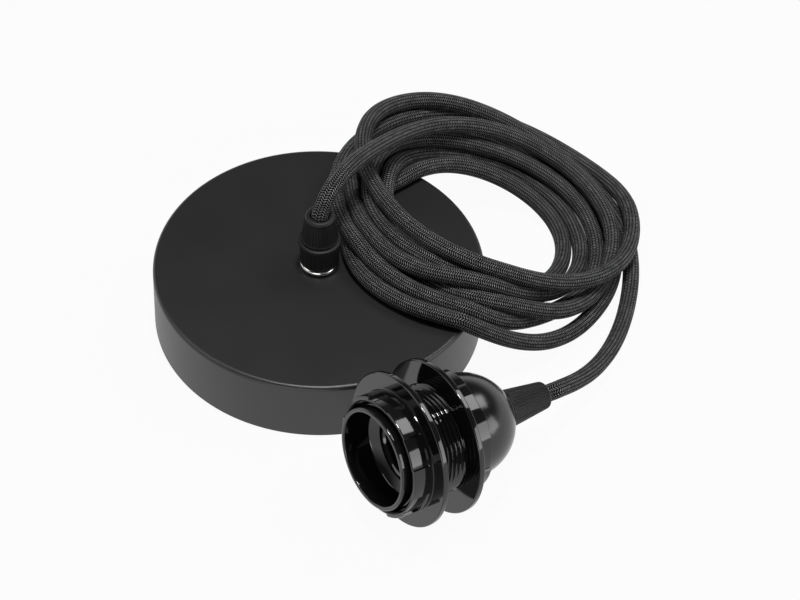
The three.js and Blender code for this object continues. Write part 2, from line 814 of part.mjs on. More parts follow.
function holderCore(side) {
  const rear = carrierEnd - seatGap;
  const x = -terminalLength / 4;
  const y = side * terminalReach;
  return coreTube([
    [0, side * coreSpread, holderTailFront + seatGap],
    [0, side * coreSpread, holderNippleEnd - 0.2],
    [x * 0.6, y * 0.66, (holderNippleEnd + rear) / 2],
    [x, y, rear - 0.8],
    [x, y, rear],
  ]);
}

function lampHolder() {
  const holder = new THREE.Group();
  const frontRing = piece('shade_ring_front', shadeRing(), glossBlack);
  const rearRing = piece('shade_ring_rear', shadeRing(), glossBlack);
  rearRing.rotation.x = Math.PI;
  rearRing.position.z = -ringGap;
  holder.add(frontRing, rearRing);
  holder.add(piece('holder_barrel', holderBarrel(), glossBlack));
  holder.add(piece('holder_cap', holderCap(), glossBlack));
  holder.add(piece('contact_carrier', contactCarrier(), ceramicBlack));
  holder.add(piece('centre_contact', centreContact(), brass));
  holder.add(piece('side_contact', sideContact(), brass));
  holder.add(piece('holder_terminal_live', holderTerminal(1), brass));
  holder.add(piece('holder_terminal_neutral', holderTerminal(-1), brass));
  holder.add(piece('holder_terminal_screw_live', holderTerminalScrew(1), zincSteel));
  holder.add(piece('holder_terminal_screw_neutral', holderTerminalScrew(-1), zincSteel));
  holder.add(piece('holder_grip_body', holderGripBody(), mattBlack));
  holder.add(piece('holder_grip_cap', holderGripCap(), mattBlack));
  holder.add(piece('holder_cord_tail', rod(cordRadius, holderTailRear, holderTailFront, screwSteps), blackBraid));
  holder.add(piece('holder_live_core', holderCore(1), brownPlastic));
  holder.add(piece('holder_neutral_core', holderCore(-1), bluePlastic));
  holder.rotation.copy(holderFacing);
  holder.position.copy(holderPlace);
  return holder;
}

function ceilingRose() {
  const rose = new THREE.Group();
  rose.add(piece('rose_cup', roseCup(), mattBlackMetal));
  rose.add(piece('ceiling_bracket', ceilingBracket(), zincSteel));
  rose.add(piece('hollow_nipple', hollowNipple(), zincSteel));
  rose.add(piece('bracket_nut', hexNut(bracketNutBottom), zincSteel));
  rose.add(piece('rose_inner_nut', hexNut(roseHeight - roseWall - seatGap - nutHeight), zincSteel));
  rose.add(piece('rose_collar', roseCollar(), chrome));
  rose.add(piece('rose_grip_body', roseGripBody(), mattBlack));
  rose.add(piece('rose_grip_cap', roseGripCap(), mattBlack));
  rose.add(piece('rose_cord_tail', rod(cordRadius, roseTailBottom, nippleTop, screwSteps), blackBraid));
  rose.add(piece('terminal_block', terminalBlock(), clearPlastic));
  rose.add(piece('terminal_screw_live', terminalScrew(1), zincSteel));
  rose.add(piece('terminal_screw_neutral', terminalScrew(0), zincSteel));
  rose.add(piece('terminal_screw_spare', terminalScrew(-1), zincSteel));
  rose.add(piece('earth_washer', earthWasher(), brass));
  rose.add(piece('earth_screw', earthScrew(), brass));
  rose.add(piece('rose_live_core', roseCore(1.3, 1, 5), brownPlastic));
  rose.add(piece('rose_neutral_core', roseCore(-1.3, 0, 3), bluePlastic));
  rose.add(piece('earth_core', earthCore(), greenPlastic));
  return rose;
}

// Cord

// A value between the eight directions of the coil, eased from one to the next.
function around(values, angle) {
  const place = ((angle / (Math.PI / 4)) % 8 + 8) % 8;
  const from = Math.floor(place);
  const part = place - from;
  const eased = (1 - Math.cos(part * Math.PI)) / 2;
  return values[from] + (values[(from + 1) % 8] - values[from]) * eased;
}

// The outer shape of the coil: a ring of eight-sided section, pulled to the coil's reach and heights.
function coilSolid() {
  const middle = 3;
  const corners = [[-0.6, 0], [0.6, 0], [1, 0.3], [1, 0.7], [0.6, 1], [-0.6, 1], [-1, 0.7], [-1, 0.3]];
  const ring = turned(corners.map(([across, up]) => [middle + across, up]), coilSteps);
  const position = ring.attributes.position;
  for (let i = 0; i < position.count; i += 1) {
    const x = position.getX(i);
    const y = position.getY(i);
    const angle = Math.atan2(y, x);
    const across = (Math.hypot(x, y) - middle + 1) / 2;
    const inner = around(coilInnerReach, angle);
    const outer = around(coilOuterReach, angle);
    const bottom = around(coilBottom, angle);
    const top = around(coilTop, angle);
    const reach = inner + (outer - inner) * across;
    position.setXYZ(
      i,
      coilMiddle.x + reach * Math.cos(angle),
      coilMiddle.y + reach * Math.sin(angle),
      bottom + (top - bottom) * position.getZ(i),
    );
  }
  return ring;
}

// The lead from the rose's grip up and over to the coil.
function cordFromRose() {
  const points = [
    [0, 0, nippleTop + seatGap],
    [0, 0, 42],
    [0, 0, 50],
    [0.6, 1.4, 55.5],
    [3, 4.5, 59.5],
    [6.5, 9.5, 60.8],
    [10.5, 17, 59.2],
    [15, 26.5, 55.5],
  ];
  return tube(points.map(([x, y, z]) => new THREE.Vector3(x, y, z)), cordRadius, 14, 10);
}

// The tail from the coil down to the lamp holder's grip.
function cordToHolder() {
  const axis = new THREE.Vector3(0, 0, 1).applyEuler(holderFacing);
  const along = (height) => holderPlace.clone().addScaledVector(axis, height);
  const points = [
    along(holderTailRear - seatGap),
    along(holderGripRear - 1),
    new THREE.Vector3(91.5, -42, 14.5),
    new THREE.Vector3(100, -29.5, 9),
    new THREE.Vector3(107, -15.5, 5),
    new THREE.Vector3(111.5, -5, 3.6),
    new THREE.Vector3(112.6, 0, 3.5),
  ];
  return tube(points, cordRadius, 22, 10);
}

function cordRun() {
  const cord = new THREE.Group();
  cord.add(piece('cord_from_rose', cordFromRose(), blackBraid));
  cord.add(piece('cord_coil', coilSolid(), blackBraid));
  cord.add(piece('cord_to_holder', cordToHolder(), blackBraid));
  return cord;
}

// The set stands with the middle of its rose and lamp holder over the origin.
const set = new THREE.Group();
const fittings = new THREE.Group();
fittings.add(ceilingRose(), lampHolder());
fittings.updateMatrixWorld(true);
const footprint = new THREE.Box3().setFromObject(fittings, true).getCenter(new THREE.Vector3());
set.add(fittings, cordRun());
set.position.set(-footprint.x, -footprint.y, 0);

export default set;
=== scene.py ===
import math

import bpy
import numpy as np
from mathutils import Matrix, Vector


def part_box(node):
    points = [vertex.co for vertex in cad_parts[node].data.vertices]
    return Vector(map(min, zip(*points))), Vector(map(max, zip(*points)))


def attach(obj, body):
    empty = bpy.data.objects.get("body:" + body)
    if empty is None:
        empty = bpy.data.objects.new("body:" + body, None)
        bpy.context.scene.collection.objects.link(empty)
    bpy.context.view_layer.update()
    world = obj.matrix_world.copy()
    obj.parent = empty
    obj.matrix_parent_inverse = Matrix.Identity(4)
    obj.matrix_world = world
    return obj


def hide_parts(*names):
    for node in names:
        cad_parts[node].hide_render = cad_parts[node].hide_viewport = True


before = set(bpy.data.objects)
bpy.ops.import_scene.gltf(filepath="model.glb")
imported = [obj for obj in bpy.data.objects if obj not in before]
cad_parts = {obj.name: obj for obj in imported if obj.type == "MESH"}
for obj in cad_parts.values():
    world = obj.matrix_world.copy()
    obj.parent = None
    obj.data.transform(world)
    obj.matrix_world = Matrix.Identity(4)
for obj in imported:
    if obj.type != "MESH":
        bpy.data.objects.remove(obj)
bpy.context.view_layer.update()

# A pendant cord set that lies ready to be hung: ceiling rose, coiled cord and lamp holder.
# Sizes are in millimetres, measured from the middle of the rose on the surface it lies on.
# They become metres in the CAD frame where a mesh is made.

roseLow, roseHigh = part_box("rose_cup")
roseMiddle = np.array([(roseLow.x + roseHigh.x) / 2 * 1000, (roseLow.y + roseHigh.y) / 2 * 1000, 0])


def metres(points):
    return (np.asarray(points, float) + roseMiddle) / 1000


# Camera, from where the photo was taken
camera = {
    "aim": (29.8, 7.6, 0),
    "elevation": 46.85,     # degrees above level
    "roll": 2.81,           # degrees
    "distance": 961.8,
    "lens": 116.8,
    "sensor": 36,
    "nearest": 0.05,        # metres, as is the farthest
    "farthest": 20,
}


def makeCamera():
    tilt = math.radians(camera["elevation"])
    roll = math.radians(camera["roll"])
    forward = Vector((0, math.cos(tilt), -math.sin(tilt)))
    level = Vector((1, 0, 0))
    rightward = math.cos(roll) * level + math.sin(roll) * level.cross(forward)
    upward = rightward.cross(forward)
    cameraData = bpy.data.cameras.new("photo_camera")
    cameraData.sensor_width = camera["sensor"]
    cameraData.lens = camera["lens"]
    cameraData.clip_start = camera["nearest"]
    cameraData.clip_end = camera["farthest"]
    cameraObject = bpy.data.objects.new("photo_camera", cameraData)
    bpy.context.scene.collection.objects.link(cameraObject)
    place = Vector(metres(camera["aim"])) - forward * camera["distance"] / 1000
    turn = Matrix((rightward, upward, -forward)).transposed().to_4x4()
    cameraObject.matrix_world = Matrix.Translation(place) @ turn
    bpy.context.scene.camera = cameraObject
    bpy.context.scene.view_settings.view_transform = "Standard"


# The lamp holder's own axes: along runs out of its mouth, and is zero at the front ring's flange
holder = {
    "middle": (32.84, -88.3, 29.289),
    "heading": -144.3,      # degrees round from the x axis
    "rise": 8.45,           # degrees above level
}

heading = math.radians(holder["heading"])
rise = math.radians(holder["rise"])
holderAlong = np.array([
    math.cos(rise) * math.cos(heading),
    math.cos(rise) * math.sin(heading),
    math.sin(rise),
])
holderSide = np.cross([0, 0, 1], holderAlong)
holderSide /= np.linalg.norm(holderSide)
holderTop = np.cross(holderAlong, holderSide)
holderMiddle = np.array(holder["middle"])


def onHolder(points):
    upwards, sideways, along = np.asarray(points, float).T
    return (holderMiddle + along[:, None] * holderAlong
            + upwards[:, None] * holderTop + sideways[:, None] * holderSide)


# Shorthand for a node tree
class Nodes:
    def __init__(self, tree):
        self.nodes = tree.nodes
        self.links = tree.links

    def add(self, kind, **values):
        node = self.nodes.new(kind)
        for key, value in values.items():
            if hasattr(node, key):
                setattr(node, key, value)
            else:
                node.inputs[key].default_value = value
        return node

    def maths(self, operation, first, second=None, third=None):
        node = self.nodes.new("ShaderNodeMath")
        node.operation = operation
        for socket, value in zip(node.inputs, (first, second, third)):
            if value is None:
                continue
            if isinstance(value, (int, float)):
                socket.default_value = value
            else:
                self.links.new(value, socket)
        return node.outputs[0]

    # One on the rays that see the white set, nought on those that it lights
    def seenRays(self):
        paths = self.add("ShaderNodeLightPath")
        seen = self.maths("MAXIMUM", paths.outputs["Is Camera Ray"], paths.outputs["Is Glossy Ray"])
        return self.maths("MAXIMUM", seen, paths.outputs["Is Transmission Ray"])


# A material and what its pattern drives
class Finish(Nodes):
    def __init__(self, name):
        self.material = bpy.data.materials.new(name)
        self.material.use_nodes = True
        super().__init__(self.material.node_tree)
        self.shader = self.nodes["Principled BSDF"]

    def noise(self, scale, detail, roughness=0.5, vector=None):
        if vector is None:
            vector = self.add("ShaderNodeTexCoord").outputs["Object"]
        node = self.add("ShaderNodeTexNoise", Scale=scale, Detail=detail, Roughness=roughness)
        self.links.new(vector, node.inputs["Vector"])
        return node.outputs["Fac"]

    def spread(self, value, low, high, fromLow=0.3, fromHigh=0.7):
        node = self.add("ShaderNodeMapRange")
        ranges = list(node.inputs)[1:5]  # From Min, From Max, To Min and To Max
        for socket, number in zip(ranges, (fromLow, fromHigh, low, high)):
            socket.default_value = number
        self.links.new(value, node.inputs[0])
        return node.outputs[0]

    def tint(self, value, dark, light):
        node = self.add("ShaderNodeMix", data_type="RGBA")
        node.inputs[6].default_value = (*dark, 1)  # the colour sockets of a Mix node
        node.inputs[7].default_value = (*light, 1)
        self.links.new(value, node.inputs[0])
        self.links.new(node.outputs[2], self.shader.inputs["Base Color"])

    def roughen(self, value):
        self.links.new(value, self.shader.inputs["Roughness"])

    def bump(self, height, distance):
        node = self.add("ShaderNodeBump", Strength=1.0, Distance=distance)
        self.links.new(height, node.inputs["Height"])
        self.links.new(node.outputs["Normal"], self.shader.inputs["Normal"])

    def set(self, values):
        for key, value in values.items():
            self.shader.inputs[key].default_value = value


# Plain finishes: dark tone, light tone, smoothest and roughest, grains in a metre, their height in metres
plainFinishes = {
    "rose_paint": ((0.0030, 0.0030, 0.0032), (0.0044, 0.0044, 0.0046), (0.40, 0.43), 2600, 0.00003),
    "gloss_black": ((0.0035, 0.0035, 0.004), (0.006, 0.006, 0.0065), (0.04, 0.09), 260, 0.000004),
    "dome_black": ((0.0035, 0.0035, 0.004), (0.006, 0.006, 0.0065), (0.15, 0.22), 260, 0.000004),
    "matt_black": ((0.0045, 0.0045, 0.005), (0.008, 0.008, 0.0085), (0.42, 0.56), 3000, 0.00002),
    "chrome_finish": ((0.80, 0.79, 0.77), (0.90, 0.89, 0.87), (0.07, 0.14), 400, 0.000004),
    "zinc_finish": ((0.42, 0.43, 0.44), (0.60, 0.61, 0.62), (0.30, 0.48), 900, 0.00002),
    "brass_finish": ((0.55, 0.38, 0.14), (0.74, 0.54, 0.24), (0.20, 0.36), 900, 0.00001),
    "carrier_finish": ((0.008, 0.008, 0.008), (0.016, 0.016, 0.016), (0.35, 0.5), 1800, 0.00004),
    "block_finish": ((0.62, 0.64, 0.64), (0.74, 0.75, 0.75), (0.28, 0.42), 1200, 0.00001),
    "core_brown": ((0.10, 0.038, 0.015), (0.14, 0.055, 0.022), (0.36, 0.5), 2500, 0.00001),
    "core_blue": ((0.02, 0.10, 0.32), (0.03, 0.14, 0.40), (0.36, 0.5), 2500, 0.00001),
    "core_green": ((0.12, 0.30, 0.03), (0.62, 0.50, 0.03), (0.36, 0.5), 2500, 0.00001),
}
shaderValues = {
    "rose_paint": {"Specular IOR Level": 0.68},
    "gloss_black": {"Specular IOR Level": 0.6},
    "dome_black": {"Specular IOR Level": 0.65},
    "matt_black": {"Specular IOR Level": 0.35},
    "chrome_finish": {"Metallic": 1.0},
    "zinc_finish": {"Metallic": 1.0},
    "brass_finish": {"Metallic": 1.0},
    "block_finish": {"Transmission Weight": 0.3},
}
mottle = {"toneScale": 60, "toneDetail": 5, "patchScale": 35, "patchDetail": 4, "grainDetail": 4}


def plainFinish(name, dark, light, rough, grainScale, grainHeight):
    finish = Finish(name)
    finish.tint(finish.noise(mottle["toneScale"], mottle["toneDetail"]), dark, light)
    patches = finish.noise(mottle["patchScale"], mottle["patchDetail"])
    finish.roughen(finish.spread(patches, *rough))
    finish.bump(finish.noise(grainScale, mottle["grainDetail"]), grainHeight)
    finish.set(shaderValues.get(name, {}))
    return finish.material


# Slanted stitches in rows along the cord, which lean the other way in every other row; their crowns carry
# painted sheen, a lighter colour that stands in for glints on the black yarn
braid = {
    "columns": 16,          # rows of stitches side by side round the cord
    "stitch": 0.0008,       # length of one stitch along the cord, in metres
    "slant": 0.9,           # stitches crossed from one side of a row to the other
    "depth": 0.00005,       # metres
    "bulge": (0.6, 0.4),    # what its row's middle adds to a stitch's height, and the least
    "rowHeight": 0.7,       # of a row's middle over its edges
    "fuzz": (4200, 2, 0.6, 0.4),    # scale, detail, roughness and height
    "rowStep": 7.3,         # keeps the rows' light and dark stretches apart
    "stretches": 160,       # in a metre
    "rowPaintedSheen": (0.65, 1.0),
    "rowNoise": (0.38, 0.62),       # where a row's painted sheen is least and most
    "stitchPaintedSheen": (0.4, 0.6),      # what chance adds, and the least
    "thinness": 5,          # power that narrows the painted sheen on a stitch
    "dark": (0.0010, 0.0010, 0.0013),
    # colour of the painted sheen on the stitch crowns; the yarn itself is the dark colour
    "light": (0.46, 0.46, 0.47),
    "rough": (0.95, 0.28),  # between the stitches and on them
    "roughShine": (0.02, 0.35),     # the painted sheen at which each is reached
    "specular": 0.14,
}


def braidFinish():
    finish = Finish("braid_finish")
    maths = finish.maths
    uv = finish.add("ShaderNodeUVMap")
    split = finish.add("ShaderNodeSeparateXYZ")
    finish.links.new(uv.outputs["UV"], split.inputs[0])
    run = split.outputs["Y"]  # metres along the cord
    column = maths("MULTIPLY", split.outputs["X"], braid["columns"])
    row = maths("FLOOR", column)
    within = maths("FRACT", column)
    leaning = maths("MULTIPLY_ADD", maths("FLOOR", maths("MODULO", column, 2)), 2.0, -1.0)
    slanted = maths("MULTIPLY", maths("MULTIPLY", leaning, braid["slant"]), within)
    place = maths("ADD", maths("MULTIPLY", run, 1 / braid["stitch"]), slanted)
    stitch = maths("MULTIPLY_ADD", maths("SINE", maths("MULTIPLY", place, 2 * math.pi)), 0.5, 0.5)
    crown = maths("SINE", maths("MULTIPLY", within, math.pi))

    # Painted sheen: rows are painted lighter and darker along the cord, as if they catch the light unevenly
    stretch = finish.add("ShaderNodeCombineXYZ")
    finish.links.new(maths("MULTIPLY", row, braid["rowStep"]), stretch.inputs[0])
    finish.links.new(maths("MULTIPLY", run, braid["stretches"]), stretch.inputs[1])
    rowNoise = finish.noise(1.0, 2, 0.5, stretch.outputs[0])
    rowPaintedSheen = finish.spread(rowNoise, *braid["rowPaintedSheen"], *braid["rowNoise"])

    # And each stitch gets its own share of painted sheen
    cell = finish.add("ShaderNodeCombineXYZ")
    finish.links.new(row, cell.inputs[0])
    finish.links.new(maths("FLOOR", place), cell.inputs[1])
    chance = finish.add("ShaderNodeTexWhiteNoise", noise_dimensions="3D")
    finish.links.new(cell.outputs[0], chance.inputs["Vector"])
    stitchPaintedSheen = maths("MULTIPLY_ADD", chance.outputs["Value"], *braid["stitchPaintedSheen"])
    paintedCrownSheen = maths("MULTIPLY", crown, maths("MULTIPLY", rowPaintedSheen, stitchPaintedSheen))
    paintedSheen = maths("MULTIPLY", maths("POWER", stitch, braid["thinness"]), paintedCrownSheen)
    # The colour is painted sheen: near-black yarn, with lighter stitch crowns painted in for glints
    finish.tint(paintedSheen, braid["dark"], braid["light"])
    finish.roughen(finish.spread(paintedSheen, *braid["rough"], *braid["roughShine"]))

    *fuzzPattern, fuzzHeight = braid["fuzz"]
    raised = maths("MULTIPLY", stitch, maths("MULTIPLY_ADD", crown, *braid["bulge"]))
    height = maths("ADD", raised, maths("MULTIPLY", crown, braid["rowHeight"]))
    fuzz = maths("MULTIPLY", finish.noise(*fuzzPattern), fuzzHeight)
    finish.bump(maths("ADD", height, fuzz), braid["depth"])
    finish.set({"Specular IOR Level": braid["specular"]})
    return finish.material


finishes = {name: plainFinish(name, *values) for name, values in plainFinishes.items()}
finishes["braid_finish"] = braidFinish()
print("finishes", len(finishes))


# Mesh makers
def addPiece(name, points, faces, finish, nodes, body="cord_set", sharp=32, uvs=None, flip=False):
    if flip:
        faces = [face[::-1] for face in faces]
    mesh = bpy.data.meshes.new(name)
    mesh.from_pydata(metres(points).tolist(), [], faces)
    mesh.materials.append(finishes[finish])
    if uvs is not None:
        layer = mesh.uv_layers.new(name="UVMap")
        layer.data.foreach_set("uv", np.asarray(uvs, np.float32).ravel())
    mesh.validate()
    mesh.shade_smooth()
    mesh.set_sharp_from_angle(angle=math.radians(sharp))
    piece = bpy.data.objects.new(name, mesh)
    bpy.context.scene.collection.objects.link(piece)
    if uvs is None:
        weighted = piece.modifiers.new("weighted", "WEIGHTED_NORMAL")
        weighted.keep_sharp = True
    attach(piece, body)
    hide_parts(*nodes)
    return piece


# Faces of a grid whose columns run round; closed joins the last row to the first
def gridFaces(rows, columns, closed=True):
    faces = []
    for row in range(rows if closed else rows - 1):
        here = row * columns
        there = (row + 1) % rows * columns
        for column in range(columns):
            nextColumn = (column + 1) % columns
            faces.append((here + column, here + nextColumn, there + nextColumn, there + column))
    return faces


# Profile points round a rounded edge, from one angle to another in degrees
def arc(radius, height, bend, start, end, steps):
    angles = np.radians(np.linspace(start, end, steps + 1))
    return [(radius + bend * math.cos(a), height + bend * math.sin(a)) for a in angles]


# Rows of points round the axis; shape(row, angles, radius, height) may change a row's radius
def turnedPoints(profile, angles, shape=None):
    rows = []
    for index, (radius, height) in enumerate(profile):
        reach = np.full(len(angles), float(radius))
        if shape:
            reach = shape(index, angles, reach, height)
        level = np.full(len(angles), float(height))
        rows.append(np.stack([reach * np.cos(angles), reach * np.sin(angles), level], 1))
    return np.vstack(rows)


def evenAngles(steps):
    return np.linspace(0, 2 * math.pi, steps, endpoint=False)


# Ceiling rose
rose = {
    "radius": 60,
    "height": 25,
    "wall": 1.2,
    "edge": 1.6,            # radius of the rounded rim
    "hole": 5.2,
    "chamfer": 0.3,
    "wallRows": (8, 16),
    "topRows": (40, 20),
    "innerRow": 12,
    "steps": 240,
}


def makeRose():
    radius, height, wall, edge = rose["radius"], rose["height"], rose["wall"], rose["edge"]
    hole, chamfer = rose["hole"], rose["chamfer"]
    profile = [
        (radius - chamfer, 0), (radius, chamfer), *[(radius, row) for row in rose["wallRows"]],
        *arc(radius - edge, height - edge, edge, 0, 90, 10),
        *[(row, height) for row in rose["topRows"]],
        (hole + chamfer, height), (hole, height - chamfer), (hole, height - wall),
        *[(row, height - wall) for row in reversed(rose["topRows"])],
        *arc(radius - edge, height - edge, edge - wall, 90, 0, 4),
        (radius - wall, rose["innerRow"]), (radius - wall, chamfer), (radius - wall + chamfer, 0),
    ]
    points = turnedPoints(profile, evenAngles(rose["steps"]))
    addPiece("rose_shell", points, gridFaces(len(profile), rose["steps"]), "rose_paint",
             ["rose_cup"])


collar = {"radius": 7.1, "bottom": 25.3, "height": 2.3, "bore": 5.2, "steps": 96}


def makeCollar():
    bulge = collar["height"] / 2
    bottom, bore = collar["bottom"], collar["bore"]
    profile = [
        *arc(collar["radius"] - bulge, bottom + bulge, bulge, -90, 90, 16),
        (bore, bottom + collar["height"]), (bore, bottom),
    ]
    points = turnedPoints(profile, evenAngles(collar["steps"]))
    addPiece("rose_collar_ring", points, gridFaces(len(profile), collar["steps"]), "chrome_finish",
             ["rose_collar"])


# Cord grips: a ribbed cap on each, and a ribbed base with clamping fingers on the rose
grip = {
    "ribs": 38,
    "ribSteps": 6,          # points round one rib
    "ribDepth": 0.32,
    "baseRibDepth": 0.22,
    "ribWidth": 1.5,        # over 1 flattens the ribs' tops and the grooves between them
    "rounding": 1.2,
    "band": 0.8,            # plain band at a cap's foot
    "bore": 3.45,
    "bevel": 0.2,
}
roseGrip = {
    "capBase": 6.7,
    "capEnd": 5.4,
    "capLength": 11.4,
    "capFoot": 38.7,
    "bottom": 27.9,
    "top": 38.4,
    "ribHeight": 7.0,
    "waist": 7.1,
    "waistTop": (8.2, 8.6),         # rows of points over the ribs, from the bottom
    "shoulder": 7.7,
    "shoulderFoot": (8.75, 9.0),    # from the bottom
    "bore": 5.2,
    "fingers": 4.9,
    "fingerHeight": 8,
    "fingerBore": 3.5,
    "shelf": 34.3,          # inside, where the fingers' bore begins
}
holderGrip = {
    "capBase": 6.8,
    "capEnd": 5.0,
    "capLength": 17.6,
    "capFoot": -43.1,       # along the holder's axis, as the cap runs backwards from there
}


def ribbing(ribbedRows, depth):
    def shape(index, angles, reach, height):
        if index in ribbedRows:
            wave = 0.5 - 0.5 * np.cos(angles * grip["ribs"])
            width = grip["ribWidth"]
            return reach - depth * np.clip(wave * width - (width - 1) / 2, 0, 1)
        return reach
    return shape


# Profile and ribbed rows of a tapered cap, from its foot at height 0
def gripCapProfile(base, end, length):
    bend, band, bore, bevel = grip["rounding"], grip["band"], grip["bore"], grip["bevel"]
    rows = [(base - bevel, 0), (base, bevel), (base, band - 0.1)]
    ribbed = []
    for height in np.linspace(band + 0.15, length - bend, 10):
        ribbed.append(len(rows))
        rows.append((base + (end - base) * (height - band) / (length - bend - band), height))
    rows += arc(end - bend, length - bend, bend, 12, 90, 6)
    rows += [(bore + 0.3, length), (bore, length - 0.3), (bore, 1), (base - 1.2, 0.4), (base - 1, 0)]
    return rows, ribbed


gripAngles = evenAngles(grip["ribs"] * grip["ribSteps"])


def gripCapPoints(cap):
    profile, ribbed = gripCapProfile(cap["capBase"], cap["capEnd"], cap["capLength"])
    points = turnedPoints(profile, gripAngles, ribbing(ribbed, grip["ribDepth"]))
    return points, gridFaces(len(profile), len(gripAngles))


def makeRoseGrip():
    points, faces = gripCapPoints(roseGrip)
    points[:, 2] += roseGrip["capFoot"]
    addPiece("rose_grip_nut", points, faces, "matt_black", ["rose_grip_cap"])
    bottom, top, shelf = roseGrip["bottom"], roseGrip["top"], roseGrip["shelf"]
    waist, shoulder, fingers = roseGrip["waist"], roseGrip["shoulder"], roseGrip["fingers"]
    bore, fingerBore = roseGrip["bore"], roseGrip["fingerBore"]
    footStart, footEnd = roseGrip["shoulderFoot"]
    tip = top + roseGrip["fingerHeight"]
    profile = [(waist - grip["bevel"], bottom), (waist, bottom + grip["bevel"]), (waist, bottom + 0.8)]
    ribbed = []
    for height in np.linspace(bottom + 1, bottom + 1 + roseGrip["ribHeight"], 4):
        ribbed.append(len(profile))
        profile.append((waist, height))
    profile += [
        *[(waist, bottom + row) for row in roseGrip["waistTop"]],
        (shoulder - 0.2, bottom + footStart), (shoulder, bottom + footEnd),
        (shoulder, top - 0.35), (shoulder - 0.1, top - 0.1), (shoulder - 0.35, top),
        (fingers, top), (fingers, tip - 0.6), (fingers - 0.5, tip), (fingerBore, tip),
        (fingerBore, shelf), (bore, shelf), (bore, bottom),
    ]
    points = turnedPoints(profile, gripAngles, ribbing(ribbed, grip["baseRibDepth"]))
    addPiece("rose_grip_base", points, gridFaces(len(profile), len(gripAngles)), "matt_black",
             ["rose_grip_body"])


def makeHolderGrip():
    points, faces = gripCapPoints(holderGrip)
    points[:, 2] = holderGrip["capFoot"] - points[:, 2]
    addPiece("holder_grip_nut", onHolder(points), faces, "matt_black", ["holder_grip_cap"])


# Cord
cord = {
    "radius": 3.1,
    "coilMiddle": (58, 22),
    "coilStart": 135,       # degrees, where the table of turns begins
    "routeSteps": 12,       # points between two entries of a table
    "lineSteps": 8,         # points between two settled nodes
    "ringStep": 0.62,
    "sides": 22,
}
cordLead = [(0, 0, 34.3), (0, 0, 42), (0, 0, 50), (0.6, 1.4, 55.5), (3, 4.5, 59.5), (6.5, 9.5, 60.8),
            (10.5, 17, 59.2), (15, 26.5, 55.5)]
cordTail = [(112.6, 0, 3.5), (111.5, -5, 3.6), (107, -15.5, 5), (100, -29.5, 9), (91.5, -42, 14.5)]
cordEnd = [-67, -61.7, -57]  # its last points, along the lamp holder's axis

# Reach from the coil's middle and height at each eighth of a turn, clockwise from above:
# back left, back, back right, right, front right, front, front left, left
coilTurns = [
    [(41, 45), (49, 32), (57, 13), (50, 9), (41, 13), (39, 28), (33, 29), (37, 29)],
    [(43, 28), (45, 18), (49, 4), (38, 6), (32, 17), (35, 32), (41, 34), (47, 34)],
    [(60, 32), (60, 19), (58, 3), (50, 3), (46, 4), (48, 21), (50, 28), (47, 28)],
    [(38, 28), (38, 19), (41, 4), (30, 5), (24, 14), (29, 29), (34, 34), (40, 34)],
    [(44, 34), (46, 24), (52, 7), (44, 4), (35, 11), (43, 26), (45, 29), (52, 34)],
    [(57, 36), (63, 24), (66, 7), (53, 13), (34, 24), (30, 36), (28, 40), (36, 40)],
    [(60, 39), (60, 28), (61, 8), (57, 3)],
]

# How the cord settles round by round
settling = {
    "nodeStep": 4,
    "rounds": 460,
    "calmRounds": 160,      # the last ones, which hold the cord less to its route
    "sink": 0.02,
    "carry": 0.5,           # share of a node's speed that moves it on
    "drag": 0.9,            # share of a round's move that becomes speed
    "topSpeed": 0.5,
    "hold": 0.05,
    "calmHold": 0.015,
    "passes": 3,
    "slack": 0.9995,
    "pull": 0.2,
    "stiffness": ((1, 0.06), (2, 0.03)),    # nodes bent over, and how strongly
    "gap": 0.1,
    "push": 0.45,
    "searchEvery": 5,       # rounds
    "searchReach": 9.2,
    "neighbours": 4,        # nodes nearer than this along the cord never push each other
    "heldStart": 5,         # nodes that stay put, as do those at the end
    "heldEnd": 4,
    "insideRose": 14,       # first nodes, which the rose doesn't push
    "insideGrip": 13,       # and its grip neither
}

# The rose's grip as the cord meets it: wide below, and tapered above
gripBulk = {
    "wideTop": 40,
    "wideRadius": 7.7,
    "top": 51,
    "capFoot": 39,
    "capRadius": 6.7,
    "taper": 0.11,          # what the radius loses in each millimetre up
}


# A smooth line through the points
def curved(points, steps):
    points = np.array(points, float)
    ends = np.vstack([2 * points[0] - points[1], points, 2 * points[-1] - points[-2]])
    t = np.linspace(0, 1, steps, endpoint=False)[:, None]
    line = []
    for a, b, c, d in zip(ends[:-3], ends[1:-2], ends[2:-1], ends[3:]):
        line.append(0.5 * (2 * b + (c - a) * t + (2 * a - 5 * b + 4 * c - d) * t ** 2
                           + (3 * b - a - 3 * c + d) * t ** 3))
    return np.vstack([*line, points[-1:]])


# The same line with even steps
def evened(line, step):
    run = np.concatenate([[0], np.cumsum(np.linalg.norm(np.diff(line, axis=0), axis=1))])
    marks = np.linspace(0, run[-1], int(round(run[-1] / step)) + 1)
    return np.stack([np.interp(marks, run, line[:, axis]) for axis in range(3)], 1)


# The coil's points, from its table of turns
def coilRoute():
    stations = []
    angle = math.radians(cord["coilStart"])
    for turnRow in coilTurns:
        for reach, height in turnRow:
            stations.append((angle, reach, height))
            angle -= math.pi / 4
    angles, reaches, heights = curved(stations, cord["routeSteps"]).T
    middleX, middleY = cord["coilMiddle"]
    return np.stack([middleX + reaches * np.cos(angles), middleY + reaches * np.sin(angles), heights], 1)


